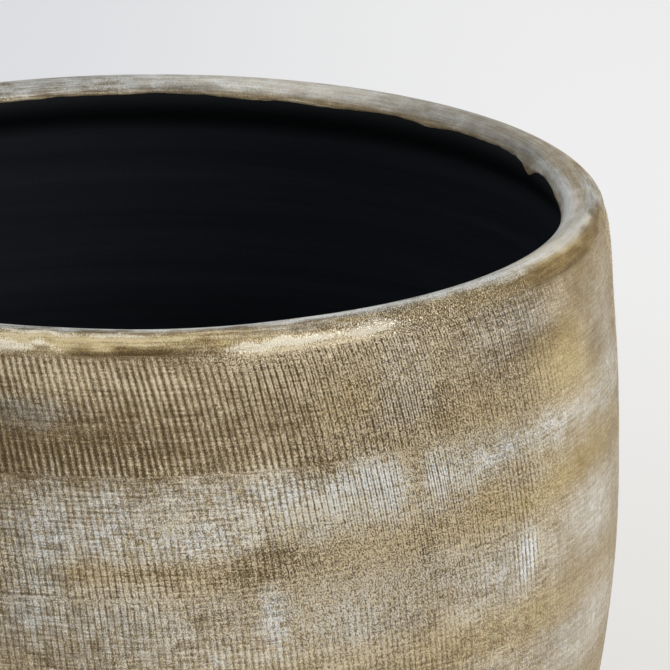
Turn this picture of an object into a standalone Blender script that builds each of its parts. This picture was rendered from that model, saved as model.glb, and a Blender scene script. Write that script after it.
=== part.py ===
"""Stoneware planter pot: a turned body, a brass-coloured outer coat that wraps over the lip,
a black watertight inner coat, and four felt pads under the foot ring.

The pot stands on the XY plane with its axis on Z, and the origin is under its centre.
Every round outline is a chain of tangent arcs in the (radius, height) plane, turned about Z.
All lengths are in metres and all angles in degrees."""

import math

import bmesh
import bpy

# Driving dimensions of the finished pot, coats included
POT_HEIGHT = 0.213  # foot ring to lip crest, without the pads
OPENING_RADIUS = 0.109  # clear mouth inside the lip
WALL_THICKNESS = 0.009
LIP_OVERHANG = 0.0031  # how far the lip bead stands in from the wall
BELLY_SWELL = 0.0045  # how far the belly stands out past the lip
BELLY_DROP = 0.0713  # belly below the lip's centre line
BASE_TAPER = 0.0285  # how far the wall draws in from the belly to the foot
FLOOR_THICKNESS = 0.011
HEEL_RADIUS = 0.012  # outside corner of the bare stoneware
INNER_HEEL_RADIUS = 0.018  # inside corner between wall and floor
LIP_FILLET_RADIUS = 0.009  # hollow under the lip bead, inside

# Coats and the lines where they end
COAT_THICKNESS = 0.0005
CLEARANCE = 0.0003  # between two pieces that meet
PAINT_LINE_ANGLE = 170.0  # on the lip bead, where the outer coat gives way to the inner
COAT_LINE_ANGLE = -35.0  # on the heel, where the outer coat ends above the foot

# Foot ring and pads
PAD_RADIUS = 0.006
PAD_THICKNESS = 0.002
PAD_EDGE = 0.0003  # rounding of a pad's rims
PAD_MARGIN = 0.0015  # foot ring showing on each side of a pad
FOOT_RECESS_DEPTH = 0.003
PAD_NAMES = ("felt_pad_right", "felt_pad_back", "felt_pad_left", "felt_pad_front")

# Facets: sides of a full turn, and straight pieces per arc of the outline
TURN_STEPS = 48
PAD_STEPS = 16
WALL_STEPS = 4
LIP_STEPS = 6
FILLET_STEPS = 2

# Sizes that follow from those above
COAT_DEPTH = COAT_THICKNESS + CLEARANCE  # finished face to stoneware
LIP_RADIUS = (WALL_THICKNESS + LIP_OVERHANG) / 2
LIP_CENTRE_RADIUS = OPENING_RADIUS + LIP_RADIUS
BELLY_RADIUS = LIP_CENTRE_RADIUS + LIP_RADIUS + BELLY_SWELL
FOOT_HEIGHT = PAD_THICKNESS + CLEARANCE
LIP_HEIGHT = FOOT_HEIGHT + POT_HEIGHT - LIP_RADIUS
BELLY_HEIGHT = LIP_HEIGHT - BELLY_DROP
FLOOR_HEIGHT = FOOT_HEIGHT + FLOOR_THICKNESS
FOOT_RING_WIDTH = 2 * (PAD_RADIUS + PAD_MARGIN)


def clear_scene():
    """Empties the scene, so that only this pot is in it."""
    for leftover in list(bpy.data.objects):
        bpy.data.objects.remove(leftover, do_unlink=True)


def direction(start, end):
    """Angle in degrees from one point of the outline plane to another."""
    return math.degrees(math.atan2(end[1] - start[1], end[0] - start[0]))


def arc(centre, radius, start, end, steps):
    """Points along an arc of the outline plane, both ends included."""
    points = []
    for step in range(steps + 1):
        angle = math.radians(start + (end - start) * step / steps)
        points.append((centre[0] + radius * math.cos(angle), centre[1] + radius * math.sin(angle)))
    return points


def wall_arc_radius(rise, inset):
    """Radius of an arc that starts upright and draws in by inset over rise."""
    return (rise**2 + inset**2) / (2 * inset)


def upper_wall_radius():
    """Radius of the arc that is upright at the belly and runs tangent into the lip bead."""
    swell = BELLY_RADIUS - LIP_CENTRE_RADIUS
    return (swell**2 + BELLY_DROP**2 - LIP_RADIUS**2) / (2 * (swell - LIP_RADIUS))


def meeting_point(first, first_reach, second, second_reach):
    """The lower of the two points that lie at the given reaches from two centres."""
    gap_r, gap_z = second[0] - first[0], second[1] - first[1]
    gap = math.hypot(gap_r, gap_z)
    along = (first_reach**2 - second_reach**2 + gap**2) / (2 * gap)
    aside = math.sqrt(first_reach**2 - along**2)
    foot = (first[0] + along * gap_r / gap, first[1] + along * gap_z / gap)
    both = [
        (foot[0] + turn * aside * gap_z / gap, foot[1] - turn * aside * gap_r / gap)
        for turn in (-1, 1)
    ]
    return min(both, key=lambda point: point[1])


UPPER_RADIUS = upper_wall_radius()
LOWER_RADIUS = wall_arc_radius(BELLY_HEIGHT - FOOT_HEIGHT, BASE_TAPER)
LIP_CENTRE = (LIP_CENTRE_RADIUS, LIP_HEIGHT)
UPPER_CENTRE = (BELLY_RADIUS - UPPER_RADIUS, BELLY_HEIGHT)
LOWER_CENTRE = (BELLY_RADIUS - LOWER_RADIUS, BELLY_HEIGHT)


def corner_centre(height, reach):
    """Centre of a heel arc at this height, at this reach from the lower wall arc's centre."""
    drop = BELLY_HEIGHT - height
    return (LOWER_CENTRE[0] + math.sqrt(reach**2 - drop**2), height)


HEEL_CENTRE = corner_centre(FOOT_HEIGHT + HEEL_RADIUS, LOWER_RADIUS - HEEL_RADIUS - COAT_DEPTH)
INNER_HEEL_CENTRE = corner_centre(
    FLOOR_HEIGHT + INNER_HEEL_RADIUS, LOWER_RADIUS - WALL_THICKNESS - INNER_HEEL_RADIUS
)
FILLET_CENTRE = meeting_point(
    LIP_CENTRE,
    LIP_RADIUS + LIP_FILLET_RADIUS,
    UPPER_CENTRE,
    UPPER_RADIUS - WALL_THICKNESS - LIP_FILLET_RADIUS,
)


def outer_face(depth, heel_start):
    """The outside from the heel up over the lip to the paint line, this far under the finish."""
    heel_end = direction(LOWER_CENTRE, HEEL_CENTRE)
    lip_start = direction(UPPER_CENTRE, LIP_CENTRE)
    heel_radius = HEEL_RADIUS + COAT_DEPTH - depth
    heel = arc(HEEL_CENTRE, heel_radius, heel_start, heel_end, FILLET_STEPS)
    lower = arc(LOWER_CENTRE, LOWER_RADIUS - depth, heel_end, 0.0, WALL_STEPS)
    upper = arc(UPPER_CENTRE, UPPER_RADIUS - depth, 0.0, lip_start, WALL_STEPS)
    lip = arc(LIP_CENTRE, LIP_RADIUS - depth, lip_start, PAINT_LINE_ANGLE, LIP_STEPS)
    return heel + lower[1:] + upper[1:] + lip[1:]


def inner_face(depth):
    """The inside from just past the paint line down to the middle of the floor."""
    seam = math.degrees(CLEARANCE / LIP_RADIUS)
    lip_end = direction(LIP_CENTRE, FILLET_CENTRE) % 360.0
    fillet_end = direction(UPPER_CENTRE, FILLET_CENTRE)
    heel_start = direction(LOWER_CENTRE, INNER_HEEL_CENTRE)
    upper_radius = UPPER_RADIUS - WALL_THICKNESS + depth
    lower_radius = LOWER_RADIUS - WALL_THICKNESS + depth
    fillet_radius = LIP_FILLET_RADIUS + depth
    heel_radius = INNER_HEEL_RADIUS + depth
    lip = arc(LIP_CENTRE, LIP_RADIUS - depth, PAINT_LINE_ANGLE + seam, lip_end, FILLET_STEPS)
    fillet = arc(FILLET_CENTRE, fillet_radius, lip_end - 180.0, fillet_end, FILLET_STEPS)
    upper = arc(UPPER_CENTRE, upper_radius, fillet_end, 0.0, WALL_STEPS)
    lower = arc(LOWER_CENTRE, lower_radius, 0.0, heel_start, WALL_STEPS)
    heel = arc(INNER_HEEL_CENTRE, heel_radius, heel_start, -90.0, FILLET_STEPS)
    return lip + fillet[1:] + upper[1:] + lower[1:] + heel[1:] + [(0.0, FLOOR_HEIGHT - depth)]


def underside():
    """The bare underside, from the middle of the recess out to the foot ring's outer edge."""
    ring_outer = HEEL_CENTRE[0]
    ring_inner = ring_outer - FOOT_RING_WIDTH
    recess_height = FOOT_HEIGHT + FOOT_RECESS_DEPTH
    recess_radius = ring_inner - FOOT_RECESS_DEPTH
    return [(0.0, recess_height), (recess_radius, recess_height), (ring_inner, FOOT_HEIGHT)]


def material(name, colour, roughness, metallic):
    """A plain material with one colour."""
    made = bpy.data.materials.new(name)
    made.use_nodes = True
    shader = made.node_tree.nodes["Principled BSDF"]
    shader.inputs["Base Color"].default_value = (*colour, 1.0)
    shader.inputs["Roughness"].default_value = roughness
    shader.inputs["Metallic"].default_value = metallic
    return made


def place(name, mesh, finish, location=(0.0, 0.0, 0.0)):
    """Puts a mesh into the scene as a named object with its finish."""
    mesh.materials.append(finish)
    made = bpy.data.objects.new(name, mesh)
    made.location = location
    bpy.context.scene.collection.objects.link(made)
    return made


def finished_mesh(name, shape, sharp_angle=40.0):
    """Turns a bmesh into a mesh with outward normals and smooth shading."""
    bmesh.ops.recalc_face_normals(shape, faces=shape.faces)
    mesh = bpy.data.meshes.new(name)
    shape.to_mesh(mesh)
    shape.free()
    mesh.shade_smooth()
    mesh.set_sharp_from_angle(angle=math.radians(sharp_angle))
    return mesh


def turned(name, outline):
    """Turns a closed outline about Z. Sides of the outline that lie on the axis make no face."""
    shape = bmesh.new()
    corners = [shape.verts.new((radius, 0.0, height)) for radius, height in outline]
    sides = zip(corners, corners[1:] + corners[:1])
    edges = [shape.edges.new(side) for side in sides if max(corner.co.x for corner in side) > 0]
    bmesh.ops.spin(
        shape,
        geom=corners + edges,
        cent=(0.0, 0.0, 0.0),
        axis=(0.0, 0.0, 1.0),
        angle=2 * math.pi,
        steps=TURN_STEPS,
        use_merge=True,
    )
    bmesh.ops.remove_doubles(shape, verts=shape.verts, dist=1e-6)
    return finished_mesh(name, shape)


def stoneware_body():
    """The fired clay body: wall, lip, floor and foot ring in one piece."""
    outline = underside() + outer_face(COAT_DEPTH, -90.0) + inner_face(COAT_DEPTH)
    clay = material("bare_stoneware", (0.42, 0.36, 0.28), 0.85, 0.0)
    return place("stoneware_body", turned("stoneware_body", outline), clay)


def outer_coat():
    """The brass-coloured metallic coat, from the heel up and over the lip."""
    outline = outer_face(0.0, COAT_LINE_ANGLE)
    outline += reversed(outer_face(COAT_THICKNESS, COAT_LINE_ANGLE))
    brass = material("brass_coat", (0.36, 0.28, 0.16), 0.45, 0.75)
    return place("brass_outer_coat", turned("brass_outer_coat", outline), brass)


def inner_coat():
    """The black watertight coat over the floor and up to the paint line."""
    outline = inner_face(0.0)
    outline += reversed(inner_face(COAT_THICKNESS))
    black = material("black_coat", (0.008, 0.009, 0.012), 0.4, 0.0)
    return place("black_inner_coat", turned("black_inner_coat", outline), black)


def pad_mesh():
    """One felt disc standing on the XY plane, its rims slightly rounded."""
    shape = bmesh.new()
    bmesh.ops.create_cone(
        shape,
        cap_ends=True,
        segments=PAD_STEPS,
        radius1=PAD_RADIUS,
        radius2=PAD_RADIUS,
        depth=PAD_THICKNESS,
    )
    rims = [edge for edge in shape.edges if any(len(f.verts) > 4 for f in edge.link_faces)]
    bmesh.ops.bevel(shape, geom=rims, offset=PAD_EDGE, segments=1, affect="EDGES")
    bmesh.ops.translate(shape, verts=shape.verts, vec=(0.0, 0.0, PAD_THICKNESS / 2))
    return finished_mesh("felt_pad", shape)


def felt_pads():
    """Four pads stuck under the middle of the foot ring, a quarter turn apart."""
    felt = material("grey_felt", (0.12, 0.115, 0.11), 0.95, 0.0)
    pad_circle = HEEL_CENTRE[0] - FOOT_RING_WIDTH / 2
    pads = []
    for index, name in enumerate(PAD_NAMES):
        angle = 2 * math.pi * index / len(PAD_NAMES)
        spot = (pad_circle * math.cos(angle), pad_circle * math.sin(angle), 0.0)
        pads.append(place(name, pad_mesh(), felt, spot))
    return pads


def main():
    """Builds the pot and everything that is stuck to it."""
    clear_scene()
    stoneware_body()
    outer_coat()
    inner_coat()
    felt_pads()


main()
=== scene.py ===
"""Finished look of a brass-coloured stoneware planter pot.

The pot has a smooth rounded lip, a wall combed into fine slanting ridges while its coat was wet,
pale and golden glazes brushed over the ridges in rounds, a black watertight inside, a bare clay
foot and four felt pads. Every outline is read from the frame, in metres with Z up. An azimuth is
0 at the front, which faces -Y, and grows towards +X. A drop is the distance from the lip's crest
down the outside, measured along the surface, and is negative on the inner side of the lip."""

import logging
import math
from collections.abc import Sequence
from dataclasses import dataclass, field
from enum import Enum
from typing import Any

import bpy
import numpy as np
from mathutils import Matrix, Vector


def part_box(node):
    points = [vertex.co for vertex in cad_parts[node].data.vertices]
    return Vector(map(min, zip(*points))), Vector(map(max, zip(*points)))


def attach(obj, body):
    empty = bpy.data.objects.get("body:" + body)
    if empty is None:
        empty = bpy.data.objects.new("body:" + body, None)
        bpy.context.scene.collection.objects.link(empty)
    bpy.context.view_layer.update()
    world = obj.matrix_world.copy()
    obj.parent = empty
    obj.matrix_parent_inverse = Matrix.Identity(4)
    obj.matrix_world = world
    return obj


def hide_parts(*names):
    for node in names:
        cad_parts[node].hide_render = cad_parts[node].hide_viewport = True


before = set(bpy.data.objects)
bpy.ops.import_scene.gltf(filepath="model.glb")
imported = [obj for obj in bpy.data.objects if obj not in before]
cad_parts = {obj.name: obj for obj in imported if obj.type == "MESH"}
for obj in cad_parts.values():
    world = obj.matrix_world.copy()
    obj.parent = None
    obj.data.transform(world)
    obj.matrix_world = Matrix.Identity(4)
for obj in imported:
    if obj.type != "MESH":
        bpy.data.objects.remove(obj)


def clear_scene() -> None:
    """Removes what a new scene holds besides the frame."""
    for name in ("Cube", "Light", "Camera"):
        leftover = bpy.data.objects.get(name)
        if leftover:
            bpy.data.objects.remove(leftover, do_unlink=True)


clear_scene()
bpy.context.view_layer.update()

Field = np.ndarray
Piece = bpy.types.Object
Material = bpy.types.Material
Socket = bpy.types.NodeSocket
Colour = tuple[float, float, float]
Tones = tuple[Colour, Colour, Colour]
FULL_TURN = 2 * math.pi
BODY = "root"
BAKE_MAP = "OFBake"
AXIS_GAP = 0.00005
log = logging.getLogger("planter")


# ---------------------------------------------------------------- outlines and fields


class Outline:
    """A line in the (radius, height) plane, walked with the clay on its right-hand side."""

    SAMPLES = 5000

    def __init__(self, points: Field) -> None:
        """Keeps closely spaced points and their distances along the line.

        Args:
            points: (n, 2) radii and heights, closely spaced.
        """
        steps = np.linalg.norm(np.diff(points, axis=0), axis=1)
        self.points = points
        self.distance = np.concatenate([[0.0], np.cumsum(steps)])
        self.crest = float(self.distance[points[:, 1].argmax()])
        self.length = float(self.distance[-1])

    @classmethod
    def curved(cls, knots: Field) -> "Outline":
        """Draws a smooth line through a few knots.

        Args:
            knots: (n, 2) radii and heights of the knots.

        Returns:
            The natural cubic spline through them.
        """
        spans = np.linalg.norm(np.diff(knots, axis=0), axis=1)
        along = np.concatenate([[0.0], np.cumsum(spans)])
        count = len(knots)
        system = np.eye(count)
        bends = np.zeros((count, 2))
        slopes = np.diff(knots, axis=0) / spans[:, None]
        for i in range(1, count - 1):
            system[i, i - 1 : i + 2] = (spans[i - 1], 2 * (spans[i - 1] + spans[i]), spans[i])
            bends[i] = 6 * (slopes[i] - slopes[i - 1])
        bends = np.linalg.solve(system, bends)
        wanted = np.linspace(0.0, along[-1], cls.SAMPLES)
        span = np.clip(np.searchsorted(along, wanted) - 1, 0, count - 2)
        width = spans[span][:, None]
        after = (wanted - along[span])[:, None]
        before = width - after
        curve = (
            (bends[span] * before**3 + bends[span + 1] * after**3) / (6 * width)
            + (knots[span] / width - bends[span] * width / 6) * before
            + (knots[span + 1] / width - bends[span + 1] * width / 6) * after
        )
        return cls(curve)

    @classmethod
    def rounded(cls, corners: Field, softness: float) -> "Outline":
        """Draws straight runs with softened corners.

        Args:
            corners: (n, 2) radii and heights of the corners.
            softness: length of line that each corner is rounded over.

        Returns:
            The softened line.
        """
        spans = np.linalg.norm(np.diff(corners, axis=0), axis=1)
        along = np.concatenate([[0.0], np.cumsum(spans)])
        wanted = np.linspace(0.0, along[-1], cls.SAMPLES)
        window = max(3, int(softness / along[-1] * cls.SAMPLES) | 1)
        kernel = np.hanning(window + 2)[1:-1]
        kernel /= kernel.sum()
        sides = []
        for side in corners.T:
            straight = np.interp(wanted, along, side)
            padded = np.pad(straight, window // 2, mode="reflect", reflect_type="odd")
            sides.append(np.convolve(padded, kernel, mode="valid"))
        return cls(np.stack(sides, axis=1))

    def at(self, distance: Field) -> tuple[Field, Field]:
        """Radius and height at these distances along the line."""
        radius, height = self.points.T
        return np.interp(distance, self.distance, radius), np.interp(distance, self.distance, height)

    def outward(self, distance: Field) -> tuple[Field, Field]:
        """Finds which way is away from the clay.

        Args:
            distance: distances along the line.

        Returns:
            The radial and the upward part of the unit normal there.
        """
        reach = 0.0001
        ahead = self.at(distance + reach)
        behind = self.at(distance - reach)
        along = np.stack([ahead[0] - behind[0], ahead[1] - behind[1]])
        along /= np.maximum(np.linalg.norm(along, axis=0), 1e-12)
        return -along[1], along[0]

    def turned(self, distance: Field, sink: Field, azimuth: Field) -> Field:
        """Turns the line about the pot's axis.

        Args:
            distance: distances along the line.
            sink: how far each place lies inside the line.
            azimuth: angles round the pot, in radians.

        Returns:
            The places, with a last axis of 3.
        """
        radius, height = self.at(distance)
        out, up = self.outward(distance)
        return turned_places(radius - out * sink, height - up * sink, azimuth)


def section(node: str) -> list[Field]:
    """Reads a node's cross-section from the frame and splits it where its thin ends are.

    Args:
        node: name of a turned CAD node.

    Returns:
        The chains of (radius, height) points between edges shorter than a coat's end.
    """
    thin_end = 0.001
    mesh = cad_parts[node].data
    places = np.empty(len(mesh.vertices) * 3, np.float32)
    mesh.vertices.foreach_get("co", places)
    places = places.reshape(-1, 3)
    on_plane = np.flatnonzero((np.abs(places[:, 1]) < 1e-6) & (places[:, 0] > -1e-6))
    names = {i: (round(float(places[i, 0]), 6), round(float(places[i, 2]), 6)) for i in on_plane}
    beside: dict[tuple[float, float], set[tuple[float, float]]] = {}
    for edge in mesh.edges:
        first, second = (names.get(i) for i in edge.vertices)
        if first and second and math.dist(first, second) > thin_end:
            beside.setdefault(first, set()).add(second)
            beside.setdefault(second, set()).add(first)
    chains = []
    while beside:
        point = min(point for point, near in beside.items() if len(near) == 1)
        chain = [point]
        near = beside.pop(point)
        while near - set(chain):
            point = (near - set(chain)).pop()
            chain.append(point)
            near = beside.pop(point)
        chains.append(np.array(chain))
    return chains


class Ripple:
    """Smooth random hills over the wall that meet themselves after a full turn."""

    LOWEST_DROP = -0.05
    HIGHEST_DROP = 0.35

    def __init__(self, seed: int, around: int, rise: float) -> None:
        """Draws the hills.

        Args:
            seed: seed of the draw.
            around: number of hills in a full turn.
            rise: height of one hill along the wall, in metres.
        """
        rows = int((self.HIGHEST_DROP - self.LOWEST_DROP) / rise) + 3
        self.hills = np.random.default_rng(seed).uniform(-1.0, 1.0, (rows, around))
        self.around = around
        self.rise = rise

    def at(self, azimuth: Field, drop: Field) -> Field:
        """Height of the hills, from -1 to 1.

        Args:
            azimuth: angles round the pot, in radians.
            drop: distances down the wall, of a shape that broadcasts with azimuth.

        Returns:
            One value for each place.
        """
        across = (azimuth / FULL_TURN % 1.0) * self.around
        down = np.clip((drop - self.LOWEST_DROP) / self.rise, 0, len(self.hills) - 2.001)
        column, row = (np.floor(place).astype(int) for place in (across, down))
        right, below = eased(across - column), eased(down - row)
        upper, lower = (
            self.hills[line, column % self.around] * (1 - right)
            + self.hills[line, (column + 1) % self.around] * right
            for line in (row, row + 1)
        )
        return upper * (1 - below) + lower * below


def eased(share: Field) -> Field:
    """A share from 0 to 1, with a soft start and a soft end."""
    return share * share * (3 - 2 * share)


def smooth_step(value: Field, low: float, high: float) -> Field:
    """Rises softly from 0 at low to 1 at high."""
    return eased(np.clip((value - low) / (high - low), 0.0, 1.0))


def hump(value: Field, centre: float, reach: float, power: int = 2) -> Field:
    """Is 1 where the value is at the centre and falls to 0 past its reach."""
    return np.exp(-(((value - centre) / reach) ** power))


def even_shares(rows: int) -> Field:
    """One column of shares of a line's length, evenly spaced from 0 to 1."""
    return np.linspace(0.0, 1.0, rows)[:, None]


def full_turn(columns: int) -> Field:
    """One row of azimuths, evenly spaced over a full turn."""
    return np.arange(columns)[None, :] * FULL_TURN / columns


def degrees_from(azimuth: Field, centre: float) -> Field:
    """How many degrees each azimuth in radians lies past a centre in degrees, from -180 to 180."""
    return np.degrees((azimuth - math.radians(centre) + math.pi) % FULL_TURN - math.pi)


def turned_places(radius: Field, height: Field, azimuth: Field) -> Field:
    """Places in space of these radii and heights at these azimuths."""
    radius, height, azimuth = np.broadcast_arrays(radius, height, azimuth)
    return np.stack([radius * np.sin(azimuth), -radius * np.cos(azimuth), height], axis=-1)


def put(name: str, data: bpy.types.ID) -> Piece:
    """Puts a new object into the scene.

    Args:
        name: name of the object.
        data: the mesh, lamp or camera that it holds.

    Returns:
        The object.
    """
    made = bpy.data.objects.new(name, data)
    bpy.context.scene.collection.objects.link(made)
    return made


def band_mesh(
    name: str, places: Field, numbers: dict[str, Field], laid: Field | None = None, strips: int = 0
) -> Piece:
    """Makes a band of quads that closes on itself after a full turn.

    Args:
        name: name of the piece.
        places: (rows, columns, 3) places, each row one turn, the first row uppermost outside.
        numbers: values for each place, kept as attributes by name.
        laid: (rows, columns, 3) places on the uncombed wall, kept as the attribute "laid".
        strips: how many lengths the band is cut into on its bake map, or 0 for no map.

    Returns:
        The new object, smooth shaded and in the scene.
    """
    rows, columns = places.shape[:2]
    corner = np.arange(rows * columns).reshape(rows, columns)
    after = np.roll(corner, -1, axis=1)
    quads = np.stack([corner[:-1], corner[1:], after[1:], after[:-1]], axis=-1).reshape(-1, 4)
    mesh = bpy.data.meshes.new(name)
    mesh.vertices.add(rows * columns)
    mesh.vertices.foreach_set("co", places.astype(np.float32).ravel())
    mesh.loops.add(quads.size)
    mesh.loops.foreach_set("vertex_index", quads.astype(np.int32).ravel())
    mesh.polygons.add(len(quads))
    mesh.polygons.foreach_set("loop_start", np.arange(0, quads.size, 4, dtype=np.int32))
    mesh.update(calc_edges=True)
    for title, values in numbers.items():
        layer = mesh.attributes.new(title, "FLOAT", "POINT")
        spread = np.broadcast_to(values, (rows, columns))
        layer.data.foreach_set("value", spread.astype(np.float32).ravel())
    if laid is not None:
        layer = mesh.attributes.new("laid", "FLOAT_VECTOR", "POINT")
        layer.data.foreach_set("vector", laid.astype(np.float32).ravel())
    if strips:
        add_bake_map(mesh, rows, columns, strips)
    mesh.shade_smooth()
    return put(name, mesh)


def add_bake_map(mesh: bpy.types.Mesh, rows: int, columns: int, strips: int) -> None:
    """Lays a band out flat in stacked strips, so that every quad has its own room on the map.

    Args:
        mesh: the band's mesh.
        rows: its rows of places.
        columns: its places round a turn.
        strips: how many lengths it is cut into.
    """
    margin = 0.004
    row, column = np.meshgrid(np.arange(rows - 1), np.arange(columns), indexing="ij")
    per_strip = math.ceil(columns / strips)
    strip = column // per_strip
    across = (column % per_strip)[..., None] + np.array([0, 0, 1, 1])
    down = row[..., None] + np.array([0, 1, 1, 0])
    u = margin + (1 - 2 * margin) * across / per_strip
    v = (strip[..., None] + margin * strips / 2 + (1 - margin * strips) * down / (rows - 1)) / strips
    layer = mesh.uv_layers.new(name=BAKE_MAP)
    layer.uv.foreach_set("vector", np.stack([u, v], axis=-1).astype(np.float32).ravel())


def wear(piece: Piece, material: Material, slot: str, *nodes: str) -> Piece:
    """Dresses a piece and ties it to the frame.

    Args:
        piece: the new piece.
        material: what it is made of.
        slot: the record's material slot; not used.
        nodes: the CAD nodes that it stands for.

    Returns:
        The same piece.
    """
    piece.data.materials.append(material)
    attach(piece, BODY)
    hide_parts(*nodes)
    log.info("%s: %d faces, stands for %s", piece.name, len(piece.data.polygons), ", ".join(nodes))
    return piece


# ---------------------------------------------------------------- shader expressions


class Value:
    """A number that changes over a surface. Arithmetic on it adds Math nodes."""

    def __init__(self, paint: "Paint", socket: Socket) -> None:
        """Wraps a socket of this material's tree."""
        self.paint = paint
        self.socket = socket

    def _math(self, operation: str, *others: "Value | float") -> "Value":
        """The result of a Math node on this value and the others."""
        made = self.paint.node("ShaderNodeMath", {"operation": operation}, dict(enumerate((self, *others))))
        return Value(self.paint, made.outputs[0])

    def __add__(self, other: "Value | float") -> "Value":
        """This plus the other."""
        return self._math("ADD", other)

    def __sub__(self, other: "Value | float") -> "Value":
        """This minus the other."""
        return self._math("SUBTRACT", other)

    def __rsub__(self, other: float) -> "Value":
        """The other minus this."""
        return (self * -1.0) + other

    def __mul__(self, other: "Value | float") -> "Value":
        """This times the other."""
        return self._math("MULTIPLY", other)

    __radd__ = __add__
    __rmul__ = __mul__

    def positive(self) -> "Value":
        """This, or 0 where it is less."""
        return self._math("MAXIMUM", 0.0)

    def clamped(self) -> "Value":
        """This, kept from 0 to 1."""
        return self._math("MINIMUM", 1.0)._math("MAXIMUM", 0.0)

    def spread(self, contrast: float) -> "Value":
        """This with its distance from a half stretched, kept from 0 to 1."""
        return ((self - 0.5) * contrast + 0.5).clamped()

    def step(self, low: float, high: float) -> "Value":
        """Rises softly from 0 to 1.

        Args:
            low: where it starts to rise.
            high: where it has risen.

        Returns:
            The risen value.
        """
        sockets = {"Value": self, "From Min": low, "From Max": high}
        made = self.paint.node("ShaderNodeMapRange", {"interpolation_type": "SMOOTHSTEP"}, sockets)
        return Value(self.paint, made.outputs["Result"])


Input = Value | Socket | float | tuple | Vector


class Paint:
    """A material under construction, with one Principled shader."""

    def __init__(self, name: str) -> None:
        """Starts a material that holds a Principled shader and its output.

        Args:
            name: name of the material.
        """
        self.material = bpy.data.materials.new(name)
        self.material.use_nodes = True
        self.tree = self.material.node_tree
        self.shader = self.tree.nodes["Principled BSDF"]

    def node(self, kind: str, settings: dict[str, Any], sockets: dict[str | int, Input]) -> bpy.types.Node:
        """Adds any node.

        Args:
            kind: the node's type.
            settings: its own settings, set first; "stops" gives a ramp's (place, colour) pairs.
            sockets: values or links for its inputs, by name or number.

        Returns:
            The node.
        """
        made = self.tree.nodes.new(kind)
        for name, setting in settings.items():
            if name == "stops":
                set_stops(made.color_ramp, setting)
            else:
                setattr(made, name, setting)
        for name, value in sockets.items():
            self.feed(made.inputs[name], value)
        return made

    def feed(self, socket: Socket, value: Input) -> None:
        """Links a value to an input, or sets the input to a constant.

        Args:
            socket: the input.
            value: what it gets.
        """
        if isinstance(value, Value):
            self.tree.links.new(value.socket, socket)
        elif isinstance(value, Socket):
            self.tree.links.new(value, socket)
        elif socket.type == "RGBA" and len(value) == 3:
            socket.default_value = (*value, 1.0)
        else:
            socket.default_value = value

    def principled(self, **inputs: Input) -> Material:
        """Feeds the Principled shader.

        Args:
            inputs: values by input name, with _ for a space.

        Returns:
            The finished material.
        """
        for name, value in inputs.items():
            self.feed(self.shader.inputs[name.replace("_", " ")], value)
        return self.material

    def number(self, name: str) -> Value:
        """A number kept on the mesh."""
        made = self.node("ShaderNodeAttribute", {"attribute_name": name}, {})
        return Value(self, made.outputs["Fac"])

    def laid(self) -> Socket:
        """The place on the uncombed wall that a point was pushed from."""
        return self.node("ShaderNodeAttribute", {"attribute_name": "laid"}, {}).outputs["Vector"]

    def place(self) -> Socket:
        """The point's own place on the piece, in metres."""
        return self.node("ShaderNodeTexCoord", {}, {}).outputs["Object"]

    def noise(self, where: Socket, around: float, up: float, detail: float = 1.0) -> Value:
        """Cloudy noise stretched over the wall.

        Args:
            where: the places to read it at.
            around: size of a cloud round the pot, in metres.
            up: size of a cloud up the wall, in metres.
            detail: how many finer layers it has.

        Returns:
            The noise, mostly from 0.25 to 0.75.
        """
        stretch = {0: where, 1: (1 / around, 1 / around, 1 / up)}
        scaled = self.node("ShaderNodeVectorMath", {"operation": "MULTIPLY"}, stretch).outputs[0]
        sockets = {"Vector": scaled, "Scale": 1.0, "Detail": detail, "Roughness": 0.6}
        made = self.node("ShaderNodeTexNoise", {"noise_dimensions": "3D"}, sockets)
        return Value(self, made.outputs["Fac"])

    def ramp(self, value: Value, stops: Sequence[tuple[float, Colour]]) -> Socket:
        """A colour that follows a value through these stops."""
        return self.node("ShaderNodeValToRGB", {"stops": stops}, {"Fac": value}).outputs["Color"]

    def mix(self, share: Value, first: Input, second: Input) -> Socket:
        """The first colour, turning into the second as share goes from 0 to 1."""
        made = self.node("ShaderNodeMix", {"data_type": "RGBA"}, {"Factor": share, 6: first, 7: second})
        return made.outputs[2]

    def bump(self, height: Value, depth: float) -> Socket:
        """A normal pushed about by a height from 0 to 1 that stands for depth in metres."""
        made = self.node("ShaderNodeBump", {}, {"Strength": 1.0, "Distance": depth, "Height": height})
        return made.outputs["Normal"]


def set_stops(ramp: bpy.types.ColorRamp, stops: Sequence[tuple[float, Colour]]) -> None:
    """Gives a ramp its stops.

    Args:
        ramp: the ramp.
        stops: the (place, colour) pairs, from low to high.
    """
    while len(ramp.elements) < len(stops):
        ramp.elements.new(0.5)
    for element, (place, colour) in zip(ramp.elements, stops):
        element.position = place
        element.color = (*colour, 1.0)


# ---------------------------------------------------------------- finishes


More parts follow.
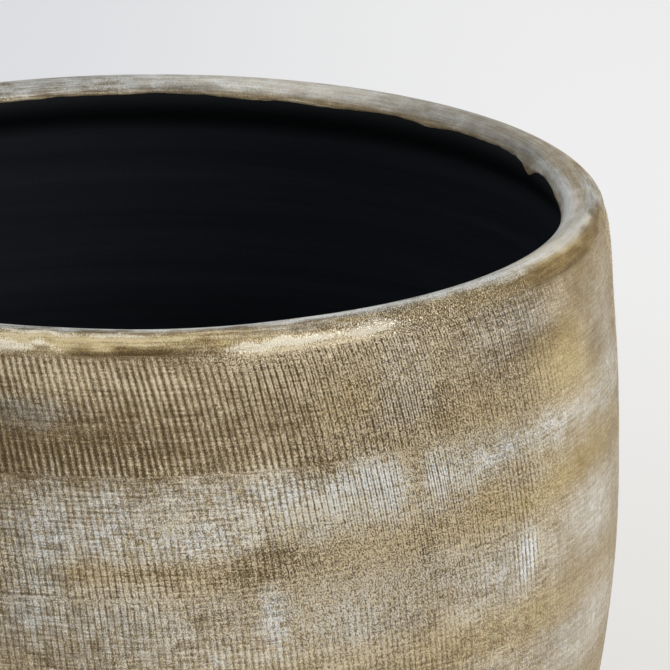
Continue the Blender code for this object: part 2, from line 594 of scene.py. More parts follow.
@dataclass(frozen=True)
class BrassFinish:
    """Brass-coloured coat with pale and golden glazes that catch on its ridges, and painted shade, highlights
    and sparkle laid into its colour.

    Each tone holds the colours of a groove, of the slope and of a ridge's top."""

    brass: Tones = ((0.094, 0.060, 0.020), (0.302, 0.228, 0.129), (0.735, 0.632, 0.448))
    pale: Tones = ((0.178, 0.163, 0.138), (0.484, 0.473, 0.446), (0.870, 0.875, 0.870))
    gold: Tones = ((0.160, 0.098, 0.028), (0.375, 0.272, 0.108), (0.730, 0.610, 0.370))
    # the silver tones are partly the coat's grey and partly a painted reflection on the crest; the cream
    # tones are partly painted highlights on the lip
    silver: Tones = ((0.150, 0.146, 0.130), (0.405, 0.400, 0.368), (0.760, 0.765, 0.740))
    cream: Tones = ((0.330, 0.270, 0.180), (0.640, 0.560, 0.415), (0.860, 0.790, 0.640))
    metallic: float = 0.55
    sand_depth: float = 0.00020

    def tone(self, paint: Paint, tones: Tones, relief: Value) -> Socket:
        """One glaze's colour, dark in the grooves and light on the ridges."""
        return paint.ramp(relief, list(zip((0.0, 0.5, 1.0), tones)))

    def material(self) -> Material:
        """Mixes the coat.

        Returns:
            The material, which reads the comb's height and the potter's marks from the mesh.
        """
        paint = Paint("brass_coat")
        laid = paint.laid()
        comb, wash, gold, silver = (paint.number(name) for name in ("comb", "wash", "gold", "silver"))
        shade, sandy, woven, sweep = (paint.number(name) for name in ("shade", "sandy", "woven", "sweep"))
        cream, smooth = (paint.number(name) for name in ("cream", "smooth"))
        rough = 1.0 - smooth * 0.60
        pale = wash.clamped()
        sand = paint.noise(laid, 0.00026, 0.00036, 2.0).spread(4.6) - 0.45
        # painted sparkle: sparse bright specks laid into the colour as painted highlights
        painted_glints = paint.noise(laid, 0.00030, 0.00046, 1.0).step(0.64, 0.74)
        threads = paint.noise(laid, 0.00042, 0.0020, 1.0).spread(2.2) - 0.5
        weft = paint.noise(laid, 0.0050, 0.00050, 1.0).spread(2.8) - 0.5
        streaks = paint.noise(laid, 0.0130, 0.00080, 2.0).spread(2.4) - 0.5
        cloud = paint.noise(laid, 0.0060, 0.0035, 2.0).spread(2.2) - 0.5
        dashes = paint.noise(laid, 0.00080, 0.0034, 1.0).spread(2.8) - 0.5
        tint = paint.noise(laid, 0.0007, 0.0011, 2.0).spread(3.0) - 0.5
        line, cell = paint.number("line"), paint.number("cell")
        weave = weft * woven * 0.32 - (line - 0.32) * woven * (pale * 0.12 + 0.28)
        cloth = (threads * 0.24 + weave) * (1.0 - sweep) + streaks * 0.60 * sweep
        # above 0 the shade number darkens the colour, partly brown glaze and partly painted shade; below 0 it
        # is a painted highlight, strongest on the ridge tops
        dark = shade.positive()
        light = (shade * -1.0).positive()
        relief = (comb - 0.5) * 0.96 + sand * (sandy * 1.40 + 0.36) + painted_glints * (sandy * 0.5 + 0.1)
        relief = relief + cloth + cloud * (sweep * 0.32 + 0.08) + cell * 0.12
        relief = (relief * rough + light * (comb * 0.40 + 0.06) - dark * 0.27 + 0.5).clamped()
        broken = (comb - 0.5) * 0.9 + cell * 0.35 + dashes * 0.25 + cloth * 0.5 + cloud * 0.2
        covered = (wash * ((broken * rough + 0.55).step(0.28, 0.82) * 0.76 + 0.28)).clamped()
        flecks = (cloth * 0.5 + cloud * 0.6) * gold - dashes * 0.15 + tint * (pale * 1.1 + 0.45)
        gilt = (gold * 0.85 + pale * 0.62 + flecks * rough).clamped()
        dulled = (cloth + cloud) * silver * 0.8 - tint * (pale * 1.1 + 0.25)
        silvered = (silver * 0.88 + dulled * rough).clamped()
        creamed = (cream + cloud * 0.6 + threads * 0.3 + sand * 0.3).step(0.30, 0.66)
        glazes = ((gilt, self.gold), (covered, self.pale), (silvered, self.silver), (creamed, self.cream))
        colour = self.tone(paint, self.brass, relief)
        for share, tones in glazes:
            colour = paint.mix(share, colour, self.tone(paint, tones, relief))
        return paint.principled(
            Base_Color=colour,
            Metallic=(self.metallic - covered * 0.4).clamped(),
            Roughness=0.64 - relief * 0.26,
            Normal=paint.bump((sand * (sandy * 0.5 + 0.6) + cloth) * rough + 0.5, self.sand_depth),
        )


@dataclass(frozen=True)
class BlackFinish:
    """Black watertight coat with a low satin sheen, and a darker colour for painted shade near the top of the
    inside and on one side.
    """

    colour: Colour = (0.0082, 0.0102, 0.0134)
    dusty: Colour = (0.0185, 0.0215, 0.0278)
    # painted shade: the colour that darkens the inside near its top edge and on one side
    edge: Colour = (0.0062, 0.0072, 0.0080)
    roughness: float = 0.50
    specular: float = 0.06

    def material(self) -> Material:
        """Mixes the coat.

        Returns:
            The material.
        """
        paint = Paint("black_coat")
        place = paint.place()
        rings = paint.noise(place, 0.09, 0.0035, 2.0).spread(1.8)
        swell = paint.noise(place, 0.30, 0.012, 1.0).spread(2.2)
        specks = paint.noise(place, 0.0012, 0.0012, 2.0)
        body = paint.mix(rings * 0.4 + swell * 0.6, self.colour, self.dusty)
        return paint.principled(
            # the rim number mixes in the painted shade colour
            Base_Color=paint.mix(paint.number("rim"), body, self.edge),
            Roughness=self.roughness + rings * 0.1,
            Specular_IOR_Level=self.specular,
            Normal=paint.bump(rings * 0.6 + specks * 0.4, 0.00015),
        )


@dataclass(frozen=True)
class ClayFinish:
    """Bare fired clay with fine grog."""

    light: Colour = (0.47, 0.38, 0.28)
    dark: Colour = (0.30, 0.23, 0.165)

    def material(self) -> Material:
        """Mixes the clay.

        Returns:
            The material.
        """
        paint = Paint("bare_clay")
        place = paint.place()
        grog = paint.noise(place, 0.0009, 0.0009, 3.0).spread(2.0)
        cloud = paint.noise(place, 0.02, 0.02, 2.0)
        return paint.principled(
            Base_Color=paint.mix((grog * 0.5 + cloud * 0.5).spread(1.6), self.dark, self.light),
            Roughness=0.86 + grog * 0.08,
            Normal=paint.bump(grog, 0.0002),
        )


@dataclass(frozen=True)
class FeltFinish:
    """Grey pressed felt."""

    light: Colour = (0.165, 0.158, 0.150)
    dark: Colour = (0.075, 0.071, 0.068)

    def material(self) -> Material:
        """Mixes the felt.

        Returns:
            The material.
        """
        paint = Paint("grey_felt")
        place = paint.place()
        fibres = paint.noise(place, 0.0002, 0.0009, 3.0).spread(2.2)
        tufts = paint.noise(place, 0.0011, 0.0011, 2.0)
        return paint.principled(
            Base_Color=paint.mix((fibres * 0.6 + tufts * 0.4).clamped(), self.dark, self.light),
            Roughness=0.97,
            Normal=paint.bump(fibres, 0.00025),
        )


# ---------------------------------------------------------------- brushwork on the outside


class Mark(Enum):
    """What the potter's brush or hand leaves on the wet coat, and painted light. The shade mark is partly
    brown glaze and partly painted shade, and below 0 a painted highlight; the silver and cream marks are
    partly painted reflection and painted highlight.
    """

    WASH = "wash"
    GOLD = "gold"
    SILVER = "silver"
    SHADE = "shade"
    WOVEN = "woven"
    WORN = "worn"
    DOUBLED = "doubled"
    SANDY = "sandy"
    SMOOTH = "smooth"
    CREAM = "cream"


@dataclass(frozen=True)
class Stroke:
    """One dab: its centre in degrees and millimetres of drop, its half sizes and its strength."""

    mark: Mark
    azimuth: float
    drop: float
    reach: float
    spread: float
    strength: float

    def cover(self, azimuth: Field, drop: Field) -> Field:
        """Lays the dab.

        Args:
            azimuth: angles in radians.
            drop: distances down from the crest, the same shape as azimuth.

        Returns:
            How thickly it lies at each place, from 0 to its strength.
        """
        aside = degrees_from(azimuth, self.azimuth) / self.reach
        off = aside**2 + ((drop * 1000 - self.drop) / self.spread) ** 2
        return self.strength * np.exp(-(off**1.5))


@dataclass(frozen=True)
class Round:
    """A glaze brushed right round on the wheel: its drop and half height in millimetres."""

    mark: Mark
    drop: float
    spread: float
    strength: float
    patchiness: float

    def cover(self, azimuth: Field, drop: Field, ripples: Ripple, seed: int) -> Field:
        """Lays the round, broken up by ripples.

        Args:
            azimuth: angles in radians.
            drop: distances down from the crest, the same shape as azimuth.
            ripples: what makes it wander and thin out.
            seed: where on the ripples it starts.

        Returns:
            How thickly it lies at each place, from 0 to its strength.
        """
        wander = ripples.at(azimuth + seed, np.full_like(drop, 0.01 * seed)) * 0.35
        patches = ripples.at(azimuth + 2.0 * seed, drop)
        above = (drop * 1000 - self.drop) / self.spread + wander
        return self.strength * np.exp(-(above**4)) * (1 - self.patchiness * (0.5 - 0.5 * patches))


def listed(kind: type, rows: dict[Mark, Sequence[Sequence[float]]]) -> list[Any]:
    """Rounds or dabs from rows of their numbers, listed by mark."""
    return [kind(mark, *row) for mark, numbers in rows.items() for row in numbers]


ROUNDS = listed(
    Round,
    {
        Mark.WASH: (
            (47, 9, 0.55, 0.5), (76, 10, 0.40, 0.7), (108, 9, 0.45, 0.8), (139, 8, 0.50, 0.7),
            (172, 9, 0.45, 0.8), (200, 7, 0.45, 0.7),
        ),
        Mark.GOLD: (
            (59, 6, 0.40, 0.8), (93, 7, 0.45, 0.7), (124, 7, 0.50, 0.7), (155, 7, 0.50, 0.8),
            (188, 7, 0.50, 0.7),
        ),
        Mark.SHADE: ((29, 10, 0.45, 0.6), (59, 5, 0.30, 0.8), (215, 9, 0.50, 0.6)),
        Mark.SANDY: ((80, 90, 0.30, 0.8), (170, 60, 0.30, 0.8)),
    },
)

# azimuth, drop, reach, spread and strength of each dab that has its own place; shade dabs are partly brown
# glaze and partly painted shade, and below 0 painted highlights
DABS = (
    # the first course: brown, darker on the left and lighter on the right partly as painted shade and painted
    # highlight, with pale ridge ends under the lip lit by painted highlight, and a scuffed grey patch
    {
        Mark.SHADE: (
            (-18, 27, 14, 12, 0.9), (-16, 22, 4, 3, 0.45), (-10, 28, 3, 3, -0.35), (-9.5, 34, 3, 3, -0.25),
            (-3, 13, 3, 6, 0.35), (40, 12, 4, 2.5, 0.3), (54, 22, 6, 5, 0.6), (66, 22, 6, 9, 0.3),
            (69, 33, 4, 7, 0.75), (57, 14, 3.5, 3, -0.4), (41, 21, 4, 3, -0.3), (8, 33, 4, 3, 0.3),
            (-3, 30, 9, 9, 0.45), (-7, 14, 12, 5.5, -0.7), (2, 10, 14, 2.2, 0.45), (16, 26, 2.5, 4, 0.45),
            (24, 35, 4, 3, 0.4), (35.6, 29, 2.2, 6.5, 0.8), (50, 11, 5, 3, 0.6), (17, 10.5, 7, 2.2, -0.6),
            (42, 9, 5, 2, 0.35), (62, 33, 4, 3, -0.3), (47, 20, 7, 4, 0.55), (-8, 24, 5, 3, -0.25),
            (62, 31, 11, 14, -0.6),
        ),
        Mark.GOLD: (
            (28, 30, 12, 18, 0.16), (40, 50, 14, 28, 0.16), (57, 28, 8, 10, 0.85), (24, 23, 5, 6, 0.45),
            (42, 34, 6, 6, 0.5),
        ),
        Mark.WORN: ((13, 9.6, 10, 2.4, 0.55),),
        Mark.SANDY: ((14, 10, 10, 3, 0.45),),
        Mark.WASH: (
            (52, 14, 8, 5, 0.38), (73, 30, 6, 18, 0.45), (66, 22, 5, 10, 0.25), (31, 22, 4, 14, 0.28),
        ),
        Mark.SILVER: ((46, 16, 8, 8, 0.22), (-13, 22, 5, 4, 0.4)),
    },
    # the pale round under it
    {
        Mark.WASH: (
            (-10, 47, 3, 9, 0.3), (-16, 41, 4, 7, -0.22), (1, 37, 4, 3, -0.15), (20, 38.5, 3.5, 3, -0.14),
            (17, 42, 4, 3, 0.16), (26, 44, 4, 3, 0.1), (5, 49.5, 5, 2.5, -0.28), (50, 50, 5, 4, -0.2),
            (-5, 54, 4, 5, -0.2), (44, 53, 3, 5, -0.25), (-4.5, 47, 2, 9, 0.45), (6.5, 53, 4, 5, 0.45),
            (-12.5, 62, 3, 15, 0.4), (13, 44, 7, 5, 0.3), (25, 46, 6, 7, 0.45), (35, 46, 1.7, 7, 0.48),
            (54, 45.5, 17, 4.4, 0.46), (31.2, 44, 1.8, 9, -0.3), (0, 55, 12, 5, 0.45),
        ),
        Mark.SHADE: (
            (-15, 44, 3, 12, 0.35), (-4, 39, 16, 3.2, 0.4), (20.5, 39.5, 4.5, 4.5, 0.85),
            (44, 41, 5, 2, 0.3), (54, 15, 8, 6, 0.3), (66, 14, 6, 8, 0.35), (12, 50, 12, 7, -0.42),
            (34, 46, 12, 8, -0.35), (14, 37.5, 3, 3, -0.5), (20, 41.5, 3, 2, 0.3), (23, 50, 5, 3, -0.3),
            (24, 45, 12, 7, -0.22), (34, 62, 13, 10, -0.2), (53, 58, 6, 14, -0.25), (44, 62, 4, 9, -0.35),
            (56, 30, 4, 6, -0.3), (16, 76, 12, 10, -0.12), (33, 66, 14, 24, -0.16),
        ),
        Mark.SILVER: ((-11, 58, 3, 9, 0.4),),
    },
    # the golden and brown round
    {
        Mark.SHADE: (
            (14, 60.5, 9, 4.2, 0.75), (15, 50, 4, 2.5, -0.35), (8, 58.5, 3, 3.5, -0.8), (14, 66, 4, 3, 0.4),
            (-5, 57, 3, 3, 0.25), (42, 57.5, 6, 3, 0.3), (2, 60, 4, 5, 0.25), (5, 65, 3, 4, -0.25),
            (-10, 58, 4, 9, 0.25), (33, 60, 1.6, 7, 0.75), (-15, 66, 3, 18, 0.3), (-4, 57, 13, 5, -0.35),
            (-2, 65, 8, 6, -0.35), (52, 51, 9, 5, 0.25), (70, 48, 5, 8, 0.3), (47.5, 56, 3.5, 8, 0.4),
            (24, 64, 8, 22, -0.7),
        ),
        Mark.GOLD: (
            (-7, 61, 4, 3, 0.3), (24, 60, 5, 8, 0.25), (46, 58, 9, 7, 0.6), (50, 50, 10, 5, 0.55),
            (53, 43, 8, 8, 0.3), (60, 57, 13, 7, 0.95), (71, 48, 5, 9, 0.5), (65, 30, 9, 28, 0.5),
        ),
    },
    # below it
    {
        Mark.WASH: (
            (-6, 72, 9, 8, 0.25), (14, 74, 1.6, 8, 0.55), (8, 84, 1.2, 5, 0.5), (25, 78, 4, 5, 0.35),
            (49.3, 75, 1.7, 8, 0.8), (44, 77, 6, 7, 0.35), (66, 73, 8, 10, 0.55), (66, 104, 11, 12, 0.5),
        ),
        Mark.SHADE: (
            (-2, 80, 9, 8, 0.1), (-7, 84, 7, 7, 0.35), (-10, 73, 7, 6, 0.2), (58, 102, 7, 6, 0.4),
            (11, 85, 12, 6, -0.3), (38.5, 84, 3, 3.5, -0.6), (30.5, 74, 2.5, 12, 0.3),
            (60, 74, 16, 12, -0.3), (50.5, 73, 3, 7, -0.35), (33, 70, 3, 6, 0.35), (39, 70, 2.5, 3, -0.3),
            (46, 67, 3, 5, 0.3), (32, 82, 3, 3, 0.35), (44, 85, 9, 5, -0.4), (22, 88, 8, 5, -0.35),
            (64, 102, 16, 14, -0.3),
        ),
        Mark.GOLD: ((18, 80, 6, 9, 0.2), (46, 92, 15, 7, 0.45)),
    },
    # where the comb was smeared, pressed twice, or the sand or the weave shows
    {
        Mark.WORN: (
            (-13, 25, 5, 4.5, 0.75), (-6, 27, 5, 3, 0.6), (36, 20, 18, 16, 0.34), (24, 62, 6, 8, 0.6),
            (24, 68, 6, 5, 0.5), (42, 40, 6, 8, 0.2), (67, 65, 13, 90, 0.6), (66, 18, 10, 22, 1.2),
            (48, 55, 3, 9, -0.8), (49.3, 75, 2.4, 9, -0.9), (35, 46, 1.8, 8, -0.5), (31.5, 45, 2.2, 9, 0.5),
            (21, 43, 10, 6, -0.26), (-3, 14, 8, 12, 0.22), (4, 48, 8, 10, 0.15), (48, 46, 8, 6, 0.3),
            (50, 92, 14, 26, 0.3), (15, 74, 6, 7, 0.25),
        ),
        Mark.SMOOTH: ((68, 70, 17, 140, 1),),
        Mark.DOUBLED: (
            (27, 18, 17, 18, 0.75), (40, 24, 14, 16, 0.8), (30, 60, 16, 14, 0.9), (32, 46, 14, 9, 0.6),
            (-8, 68, 12, 18, 0.4),
        ),
        Mark.SANDY: (
            (29, 22, 10, 18, 0.45), (25, 66, 9, 22, 0.9), (44, 50, 14, 40, 0.6), (34, 30, 20, 44, 0.3),
            (10, 58, 12, 20, 0.25),
        ),
        Mark.WOVEN: ((46, 12, 8, 7, 1.5), (40, 22, 9, 10, 0.7)),
    },
    # the lip's front: dull silver inside, yellow on the flank, cream that is partly a painted highlight with
    # more painted highlight over it, and brown with painted shade where the comb starts
    {
        Mark.SHADE: (
            (-11, 0.4, 9, 1.3, 0.8), (-6, 0.7, 9, 1, 0.45), (8, 5.4, 3, 1.5, 0.9), (21.5, 4.6, 1.5, 1.6, 1),
            (-10, 4.6, 3, 0.9, 0.5), (82, 2.5, 5, 3, 0.6), (13, 9.2, 6, 1.5, -0.5), (25, 8.6, 6, 1.2, -0.6),
            (58, 5, 5, 1.5, 0.5), (46, 7.2, 7, 1.2, 0.35), (18, 7.2, 8, 1.8, -0.6), (22, 8.4, 9, 1.2, -0.4),
            (2, 3.7, 10, 1, -0.4), (25, 4.8, 7, 0.8, 0.8), (43, 5.3, 5, 1.3, 0.6),
            (-11, 4.7, 3.5, 0.9, 0.5), (2, 5.8, 3, 1, -0.7), (33, 6.9, 3, 1.4, 0.7),
            (-17, 8.6, 4, 0.8, 0.6), (8, 8.8, 2.5, 0.8, 0.6), (58, 1.6, 4, 1, -0.7),
            (74, 1.6, 5, 1.2, -0.8), (105, 2.2, 11, 1.4, -0.8), (28, 0.5, 9, 0.7, -0.7),
            (44, 3.2, 6, 1.6, 0.85), (59, 4.2, 7, 1.8, 0.45), (78, 2.5, 7, 3, 0.35), (33, 4.6, 5, 2, 0.65),
            (-5, 4, 15, 2.4, -1.1), (-15, 5.2, 6, 2.4, -0.9), (-1, 7.7, 8, 1.2, 1.3), (-17, 9, 5, 1, 0.5),
            (1, 1.6, 8, 0.8, 0.5),
        ),
        Mark.SMOOTH: ((19, 7, 13, 2.6, 0.9), (-12, 5.5, 11, 2.6, 0.6)),
        Mark.GOLD: ((95, -1.5, 30, 3, 0.4), (60, -1.5, 9, 2.5, 0.4), (-3, 4.2, 16, 2.6, 0.95)),
        Mark.SILVER: (
            (98, -1, 26, 3, -0.5), (60, -1.2, 9, 2.2, -0.5), (150, -2, 30, 4, -0.35),
            (110, -7.8, 14, 1, 0.55), (18, 3.7, 8, 0.9, 0.45), (-2, 2.4, 15, 1.5, -0.55),
            (50, 2.8, 5, 1.6, 0.6),
        ),
        Mark.CREAM: ((-15, 6, 5.5, 1.6, 0.8), (-6, 2.5, 10, 0.8, 0.62)),
    },
    # the scuffed cream patch, brightened further by painted highlight, and the brown blotches over it
    {
        Mark.SHADE: (
            (19, 6.6, 8, 1.8, -1.2), (27, 7.2, 4.5, 2.2, -1.2), (15, 8.2, 4, 1.2, -0.7),
            (18.5, 3.4, 1.8, 1.6, 0.35), (31, 4.2, 6, 1.3, 0.85),
        ),
        Mark.CREAM: ((16.5, 6.8, 5.5, 1.3, 1.1), (12, 7.4, 3, 0.9, 0.6), (27, 6.2, 4, 2, 1.15)),
        Mark.SANDY: ((20, 6.8, 11, 2, 0.8),),
        Mark.GOLD: ((24, 3.2, 4, 1, 0.9), (13, 3.4, 2.5, 0.9, 0.6)),
    },
    # the lip towards the right: a white crest of silver glaze brightened by painted highlight, and a dark
    # brown flank
    {
        Mark.SHADE: (
            (10, -0.8, 24, 1.6, -1.7), (38, 0.4, 6, 1, -0.8), (48, 1.6, 11, 2, -1.25),
            (60, -0.6, 10, 1.8, -1.1), (90, -6, 14, 3, -0.45), (72, 1, 16, 2, -0.55),
            (80, -4.2, 14, 2.8, -1.3), (42, 5, 7, 1.8, 1.3), (58, 6.4, 15, 2.2, 1.7), (57, 5, 7, 0.9, 0.8),
            (62, 3.4, 8, 1, -0.6), (74, 4, 7, 2.2, 1.2),
        ),
        Mark.SILVER: (
            (94, -1, 16, 6, -0.25), (88, -6.2, 16, 2.6, 0.85), (90, 2.4, 12, 2.4, 0.55),
            (88, 3.6, 8, 3, 0.35),
        ),
        Mark.SMOOTH: ((125, -2.5, 62, 8, 1),),
        Mark.WASH: ((70, 1.6, 14, 1.5, 0.55),),
        Mark.GOLD: ((58, 4.8, 20, 3, 0.7), (82, 2.5, 5, 3, 0.5)),
        Mark.SANDY: ((38, 6, 14, 4, 0.8),),
    },
    # the lip's back, seen from the front over the opening: brown stains by the painted edge and a painted
    # highlight on the crest
    {
        Mark.SHADE: (
            (122, -3.4, 18, 3.4, 0.35), (112, -6.2, 13, 1.6, 0.5), (136, -6.2, 9, 1.4, 0.35),
            (171, -6.2, 14, 1.4, 0.5), (112, -4.4, 6, 2, 0.4), (160, -2.2, 20, 3.2, -1.5),
        ),
    },
)


@dataclass
class Brushwork:
    """Every glaze and scuff on the outside, with painted shade and highlights among them: rounds made on the
    wheel, then dabs over them.

    The far side, which has drawn dabs, is given in degrees, and the sizes of those on its lip are
    the lowest and highest drop, reach, spread, step aside and strength."""

    seed: int = 11
    far_dabs: int = 130
    far_side: tuple[int, int] = (84, 336)
    far_lip: range = range(90, 340, 14)
    far_lip_sizes: tuple[tuple[float, float], ...] = ((1, 8), (4, 12), (1.0, 2.4), (-4, 4), (0.4, 0.9))
    crest: tuple[float, float] = (-0.0022, 0.0042)
    flank: tuple[float, float, float, float] = (0.0025, 0.0035, 0.007, 0.009)
    valley: tuple[float, float] = (0.0079, 0.0006)
    stray_down: float = 0.0009
    stray_aside: float = 0.005
    ripples: Ripple = field(default_factory=lambda: Ripple(5, 70, 0.009))
    edges: Ripple = field(default_factory=lambda: Ripple(6, 160, 0.004))

    def dabs(self) -> list[Stroke]:
        """Lists the dabs.

        Returns:
            Those that have their own place, and more of the same kinds round the far side.
        """
        draw = np.random.default_rng(self.seed)
        strokes = [dab for region in DABS for dab in listed(Stroke, region)]
        for _ in range(self.far_dabs):
            mark = tuple(Mark)[draw.integers(len(Mark))]
            slender = draw.random() < 0.4
            reach = draw.uniform(1.5, 2.5) if slender else draw.uniform(4, 12)
            spread = draw.uniform(6, 11) if slender else draw.uniform(3, 7)
            azimuth = draw.uniform(*self.far_side)
            drop = draw.uniform(10, 225)
            strokes.append(Stroke(mark, azimuth, drop, reach, spread, draw.uniform(0.3, 0.75)))
        for azimuth in self.far_lip:
            mark = (Mark.WASH, Mark.GOLD, Mark.SHADE)[draw.integers(3)]
            drop, reach, spread, aside, strength = (draw.uniform(*ends) for ends in self.far_lip_sizes)
            strokes.append(Stroke(mark, azimuth + aside, drop, reach, spread, strength))
        return strokes

    def cover(self, azimuth: Field, drop: Field) -> dict[str, Field]:
        """How much of each mark lies at each place.

        Args:
            azimuth: angles in radians.
            drop: distances down from the crest, the same shape as azimuth.

        Returns:
            The marks by name, mostly from 0 to 1. A shade below 0 is a painted highlight, and above 0 it is
            brown glaze and painted shade.
        """
        made = {mark: np.zeros_like(drop) for mark in Mark}
        uneven = self.edges.at(azimuth, drop)
        lifted = drop + uneven * self.stray_down
        turned = azimuth + uneven * self.stray_aside
        for index, layer in enumerate(ROUNDS):
            made[layer.mark] += layer.cover(turned, lifted, self.ripples, index + 1)
        for stroke in self.dabs():
            made[stroke.mark] += stroke.cover(turned, lifted)
        # a silver band round the crest, partly the coat's grey and partly a painted reflection; a golden band
        # on the flank; a dark line in the groove under the lip, which is painted shade
        flank = smooth_step(drop, *self.flank[:2]) * (1 - smooth_step(drop, *self.flank[2:]))
        made[Mark.SILVER] += 1.1 * hump(drop, *self.crest, 6)
        made[Mark.GOLD] += 0.35 * flank
        made[Mark.SHADE] += 0.5 * hump(drop, *self.valley)
        return {mark.value: np.clip(values, -2.0, 1.5) for mark, values in made.items()}


# ---------------------------------------------------------------- the pot


@dataclass
class Wall:
    """The pot's surface before combing: the frame's outline with a potter's unevenness.

    The flank is where the wall grows uneven, the dip a hollow inside the lip and the valley a
    groove under it, all by drop. The dip is as deep in metres as its stroke is strong."""

    outline: Outline
    unevenness: float = 0.00022
    crest_unevenness: float = 0.00001
    flank: tuple[float, float] = (0.003, 0.02)
    dip: Stroke = Stroke(Mark.WORN, 5, -2.2, 11, 3.0, 0.00032)
    valley: tuple[float, float] = (0.0078, 0.0013)
    valley_depth: float = 0.00045
    slow: Ripple = field(default_factory=lambda: Ripple(21, 9, 0.03))
    quick: Ripple = field(default_factory=lambda: Ripple(22, 26, 0.012))

    def sink(self, azimuth: Field, drop: Field) -> Field:
        """Sinks the surface here and there.

        Args:
            azimuth: angles in radians.
            drop: distances down from the crest, the same shape as azimuth.

        Returns:
            How far it lies inside the outline, never less than nothing.
        """
        hollow = 0.5 + 0.3 * self.slow.at(azimuth, drop) + 0.2 * self.quick.at(azimuth, drop)
        valley = hump(drop, *self.valley) * (0.65 + 0.35 * self.slow.at(azimuth, drop * 0))
        rise = (self.unevenness - self.crest_unevenness) * smooth_step(drop, *self.flank)
        even = self.crest_unevenness + rise
        return even * hollow + self.valley_depth * valley + self.dip.cover(azimuth, drop)

    def places(self, azimuth: Field, drop: Field, depth: Field) -> Field:
        """Places on the wall, this deep under its uneven surface."""
        return self.outline.turned(self.outline.crest + drop, self.sink(azimuth, drop) + depth, azimuth)

    def radius(self, drop: Field) -> Field:
        """The outline's radius at these drops."""
        return self.outline.at(self.outline.crest + drop)[0]


@dataclass(frozen=True)
class Course:
    """One course of combing: its drops, how its ridges lean, and the meshes that it is made of.

    The bite is how deep the comb went, the weave how much the cross lines show, and places, bands
    and rows are the places to a ridge, the meshes one under another and the rows of each."""

    name: str
    top: float
    bottom: float
    ridges: int
    lean_top: float
    lean_bottom: float
    bite: float
    weave: float
    scored: bool = True
    places: int = 4
    bands: int = 2
    rows: int = 23


